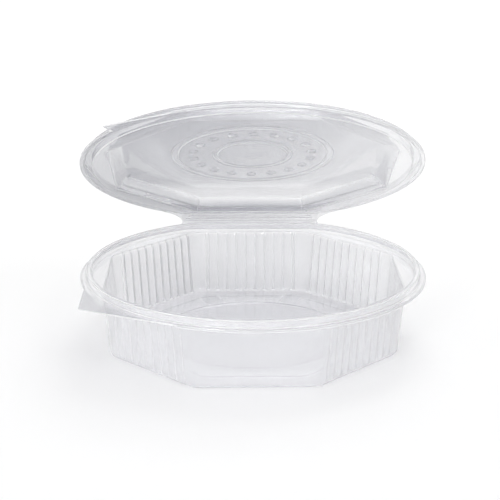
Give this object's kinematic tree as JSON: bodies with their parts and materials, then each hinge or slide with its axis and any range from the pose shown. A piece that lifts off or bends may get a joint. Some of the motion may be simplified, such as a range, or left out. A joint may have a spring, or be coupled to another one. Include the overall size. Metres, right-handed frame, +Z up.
{
  "type": "hinged meal container",
  "caption": "Clear one-piece takeaway meal container: a round snap rim over an eight-sided ribbed tub, with a hinged lid standing partly open.",
  "frame": {"origin": "middle of the tub's underside, on the disc that stands on the table", "axes": "+Z up; +Y towards the hinge; -Y towards the front, where the lid opens"},
  "size_m": [0.19, 0.1945, 0.1451],
  "materials": {
    "clear_sheet": "clear, glossy thermoformed sheet, slightly milky"
  },
  "bodies": {
    "tub": {"tub": "clear_sheet"},
    "lid": {"lid": "clear_sheet"}
  },
  "joints": [
    {"name": "lid_hinge", "type": "hinge", "parent": "tub", "child": "lid", "pos_m": [0, 0.0993, 0.03815], "axis": [-1, 0, 0], "range_deg": [-32.6, 147.4]}
  ]
}
